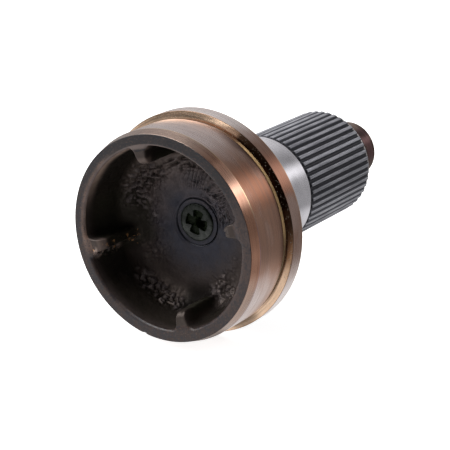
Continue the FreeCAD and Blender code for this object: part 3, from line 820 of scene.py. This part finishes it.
def make_plug(slots):
    """Flanged disc with a coned mouth and a well of four lobes, slightly squashed where it was driven in."""
    angles = np.linspace(0, 360, 288, endpoint=False)
    edge = 3.5 + 3.1 * smooth_step(np.abs(off_angle(angles, LOBE_ANGLE, 90.0)), 42, 24)
    mouth_r, well_r, flange_r = 7.6, 3.1, 10.0
    # Radius and station of each row: the shank and flange, the cone, the lobes' side and floor, then the deep hole.
    rows = [(0.0001, 10.3), (6.0, 10.3), (7.45, 10.3), (PLUG_HOLE_R, 10.2), (PLUG_HOLE_R, 2.4), (7.55, TENON_FACE),
            (9.8, TENON_FACE), (flange_r, 2.2), (flange_r, 1.98), (9.85, 1.72), (9.5, 1.52), (9.0, 1.42), (8.3, 1.4),
            (mouth_r, 1.4)]
    rows += [(mouth_r + (edge - mouth_r) * share, 1.42 + 0.1 * share) for share in (0.35, 0.7, 0.9)]
    for inset, depth in ((0.0, 1.56), (0.12, 1.72), (0.2, 2.2), (0.28, 2.8), (0.36, 3.2)):
        rows.append((edge - inset, depth))
    rows += [(edge - 0.42 + (well_r - edge + 0.42) * share, 3.4 + 0.15 * share) for share in (0.15, 0.5, 0.85, 1.0)]
    rows += [(3.0, 3.9), (2.8, 5.8), (2.7, 8.2), (1.2, 8.3)]
    r, y = (np.array([row[k] + 0 * edge for row in rows]) for k in (0, 1))
    turn = np.radians(angles)[None, :]
    x, z = r * np.cos(turn), r * np.sin(turn)
    front = smooth_step(-y, -2.1, -1.6) * smooth_step(r, 3.9, 4.4)
    y = y + front * (0.14 * rough_noise(x, 0 * y, z, 4.2, 81) + 0.05 * rough_noise(x, 0 * y, z, 1.6, 85) + 0.08)
    r = r - 0.18 * smooth_step(r, 9.0, 9.9) * (0.5 + 0.5 * value_noise(x, 0 * y, z, 4.0, 91))
    # The deep hole in the middle sits a little to the right of the lobes.
    aside = smooth_step(r, 4.2, well_r) * (y > 3.3)
    return ring_grid("centre_hole_plug_detail", r * np.cos(turn) + 1.1 * aside, y, r * np.sin(turn) - 0.7 * aside,
                     slots, ["plug"] * len(rows), centre_end=True)


# Build and dress

SCALE = forged_scale("forging_scale", 0.34)
RIM = rim_scale("rim_oxide", (0.018, 0.0135, 0.017), (0.036, 0.020, 0.016))
TAPER = turned_steel("lead_in_taper", (0.34, 0.255, 0.21), (0.50, 0.26, 0.175), (0.24, 0.12, 0.09), 0.25, 0.00002,
                     stain=0.35, edge_high=TAPER_END, edge_highlight_colour=(0.26, 0.19, 0.25), edge_gold_highlight=(0.95, 0.76, 0.46),
                     painted_highlight_and_shade=True)
PILOT = turned_steel("turned_pilot", (0.58, 0.485, 0.46), (0.405, 0.23, 0.165), (0.27, 0.165, 0.13), 0.26, 0.00003,
                     stain=0.4, stain_from=-7.0, copper_highlight=(0.43, 0.19, 0.115))
UNDER = turned_steel("undercut_groove", (0.16, 0.085, 0.05), (0.10, 0.045, 0.03), (0.05, 0.03, 0.02), 0.34, 0.00002)
# The fillet's bright gold is a painted highlight line.
FILLET_HIGHLIGHT = turned_steel("undercut_fillet_highlight", (0.80, 0.53, 0.28), (0.84, 0.58, 0.30), (0.50, 0.32, 0.16), 0.16, 0.00001,
                      stain=0.3, metallic=0.1, shade_above=46.0)
SHOULDER = turned_steel("tube_shoulder", (0.82, 0.58, 0.41), (0.36, 0.20, 0.11), (0.10, 0.06, 0.04), 0.14, 0.00002,
                        painted_dark_side=True)
FLANGE = turned_steel("flange_band", (0.70, 0.62, 0.60), (0.36, 0.215, 0.165), (0.26, 0.16, 0.125), 0.26, 0.00003,
                      stain=0.3, edge_high=FLANGE_EDGE, copper_highlight=(0.40, 0.185, 0.12))
HUB = turned_steel("turned_hub", (0.20, 0.16, 0.15), (0.15, 0.12, 0.115), (0.08, 0.065, 0.06), 0.40, 0.00005)
JOURNAL = ground_steel("ground_journal", (0.78, 0.755, 0.80), 0.28, 0.00001)
SPLINE = phosphate("phosphated_spline", (0.030, 0.030, 0.038), (0.115, 0.117, 0.138), (0.42, 0.42, 0.46), 0.42)
SPIGOT = turned_steel("end_spigot_finish", (0.22, 0.145, 0.115), (0.15, 0.075, 0.075), (0.04, 0.028, 0.022), 0.30,
                      0.00003, stain=0.7, edge_low=133.5, edge_high=161.4, edge_highlight_colour=(0.50, 0.35, 0.25))
WORN = ground_steel("worn_tooth_end", (0.50, 0.47, 0.46), 0.34, 0.00003)
CENTRE = ground_steel("centre_hole_finish", (0.16, 0.13, 0.12), 0.4, 0.00003)
PLUG = plug_plastic("centre_plug_plastic", (0.012, 0.018, 0.011), (0.005, 0.008, 0.0045))

head = make_head({"rim": RIM, "taper": TAPER, "pilot": PILOT, "under": UNDER, "shoulder": SHOULDER, "flange": FLANGE,
                  "hub": HUB, "scale": SCALE, "fillet": FILLET_HIGHLIGHT})
stem = make_stem({"scale": SCALE, "journal": JOURNAL, "spline": SPLINE, "spigot": SPIGOT, "centre": CENTRE,
                  "wear_and_highlight": WORN})
plug = make_plug({"plug": PLUG})

for piece, node, slot in ((head, "tube_end_head", "forged_steel"), (stem, "splined_stem", "ground_steel"),
                          (plug, "centre_hole_plug", "plug_plastic")):
    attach(piece, "root")
    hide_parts(node)


# Floor, light and camera

def make_floor():
    """White floor that keeps the shadow for the camera. Metal sees it bright in front and dim behind the part, with
    painted shadows under and beside the part.
    """
    half, level = 3.0, -FLANGE_R / MM_PER_METRE
    mesh = bpy.data.meshes.new("floor")
    mesh.from_pydata([(-half, -half, level), (half, -half, level), (half, half, level), (-half, half, level)], [],
                     [(0, 1, 2, 3)])
    floor = bpy.data.objects.new("floor", mesh)
    bpy.context.scene.collection.objects.link(floor)
    n = Nodes("floor_white")
    n.tree.nodes.remove(n.shader)
    path = n.new("LightPath")
    diffuse = n.new("BsdfDiffuse")
    diffuse.inputs["Color"].default_value = (0.8, 0.8, 0.8, 1)
    glow = n.new("Emission")
    n.put(glow.inputs["Strength"], n.times(path.outputs["Is Camera Ray"], 0.8))
    lit = n.new("AddShader")
    n.put(lit.inputs[0], diffuse.outputs[0])
    n.put(lit.inputs[1], glow.outputs[0])
    # What the metal mirrors: the level falls behind the part, painted shadows lie under and beside it, and a painted
    # brighter patch lies beyond the stem.
    behind = n.span(n.station, 0.03, 0.105, 1.0, 0.36)
    in_front = n.span(n.minus(n.station, n.times(n.x, 0.9)), -0.34, -0.04, 0.08, 1.0)
    mirrored = n.times(behind, n.larger(in_front, n.span(n.station, -0.02, 0.02)))
    under_stem = n.times(n.near(n.x, 0.0, 0.02, 0.045), n.near(n.station, 0.085, 0.01, 0.03, 0.6))
    contact = n.times(n.near(n.station, -0.014, 0.005, 0.011, 0.6), n.span(n.x, 0.028, 0.034, 1.0, 0.0))
    beside = n.times(n.span(n.x, 0.09, 0.13), n.span(n.station, 0.03, 0.07, 0.55, 0.0))
    for patch in (under_stem, contact, beside):
        mirrored = n.times(mirrored, n.minus(1.0, patch))
    beyond = n.times(n.near(n.x, 0.035, 0.03, 0.08), n.near(n.station, 0.150, 0.022, 0.045, 0.45))
    seen = n.new("Emission")
    n.put(seen.inputs["Strength"], n.plus(mirrored, beyond))
    surface = n.mix_shader(path.outputs["Is Glossy Ray"], lit.outputs[0], seen.outputs[0])
    n.put(n.output.inputs["Surface"], surface)
    mesh.materials.append(n.material)


def make_world():
    """White to the camera, and to everything else a plain studio that is darker behind and beside the camera."""
    world = bpy.data.worlds.new("studio")
    bpy.context.scene.world = world
    world.use_nodes = True
    w = Tree(world.node_tree)
    room, white = w.new("Background"), w.new("Background")
    white.inputs["Color"].default_value = (1, 1, 1, 1)
    white.inputs["Strength"].default_value = 1.0
    surface = w.mix_shader(w.new("LightPath").outputs["Is Camera Ray"], room.outputs[0], white.outputs[0])
    w.put(w.new("OutputWorld").inputs["Surface"], surface)
    direction = w.new("TexCoord").outputs["Generated"]
    parts = w.new("SeparateXYZ")
    w.put(parts.inputs[0], direction)
    _, along, up = parts.outputs
    # A tall narrow light behind the part, on the plane through these two directions.
    low_end, high_end = Vector((0.484, 0.789, 0.378)), Vector((0.741, 0.371, 0.559))
    aside = w.math("ABSOLUTE", w.dot(direction, low_end.cross(high_end).normalized()))
    strip = w.span(w.times(aside, w.span(along, 0.37, 0.79, 0.85, 1.0)), 0.03, 0.21, 1.0, 0.0)
    strip = w.times(strip, w.span(along, 0.3, 0.85, 3.8, 0.9), w.span(up, 0.1, 0.3), w.span(along, 0.0, 0.25))
    total = w.plus(w.span(along, -0.3, 0.3, 0.05, 0.26), strip)
    # Soft round lights: direction, degrees to the outside and to the full level, and the level added.
    for middle, outside, inside, level in (
        ((-0.56, 0.75, 0.33), 54, 16, 0.50),
        ((-0.437, -0.895, -0.01), 4.5, 1.5, 4.5),
        ((-0.55, -0.8, 0.1), 42, 16, 0.24),
        ((-0.5, 0.1, 0.86), 46, 18, 0.4),
        ((0.60, 0.789, 0.10), 32, 8, 0.22),
        ((-0.35, -0.75, 0.55), 22, 8, 1.4),
    ):
        facing = w.dot(direction, Vector(middle).normalized())
        outside, inside = math.cos(math.radians(outside)), math.cos(math.radians(inside))
        total = w.plus(total, w.span(facing, outside, inside, 0.0, level))
    w.put(room.inputs["Strength"], total)


def aim(direction):
    """Rotation that points an object's -Z along a direction."""
    return Vector(direction).to_track_quat("-Z", "Y").to_matrix().to_4x4()


def make_lamp(name, place, energy, side, target):
    """A square area lamp that faces a target."""
    light = bpy.data.lights.new(name, "AREA")
    light.shape = "RECTANGLE"
    light.size = light.size_y = side
    light.energy = energy
    lamp = bpy.data.objects.new(name, light)
    spot = Vector(place)
    lamp.matrix_world = Matrix.Translation(spot) @ aim(Vector(target) - spot)
    bpy.context.scene.collection.objects.link(lamp)


def make_camera():
    """The photo's camera, from the fit to the part's circular edges."""
    camera = bpy.data.cameras.new("photo_camera")
    camera.lens, camera.sensor_width = 126.79, 36.0
    camera.clip_start, camera.clip_end = 0.01, 50
    azimuth, elevation = math.radians(33.46), math.radians(18.95)
    toward = Vector((math.sin(azimuth) * math.cos(elevation), -math.cos(azimuth) * math.cos(elevation),
                     math.sin(elevation)))
    view = bpy.data.objects.new("photo_camera", camera)
    view.matrix_world = Matrix.Translation((0.43309, -0.62720, 0.26075)) @ aim(-toward)
    bpy.context.scene.collection.objects.link(view)
    bpy.context.scene.camera = view
    bpy.context.scene.view_settings.view_transform = "Standard"


make_floor()
make_world()
make_lamp("top_box", (-0.35, -0.15, 0.75), 7.0, 0.6, (0, 0.04, 0))
make_lamp("front_box", (-0.72, -0.44, 0.46), 4.0, 0.5, (0, 0, 0))
make_camera()
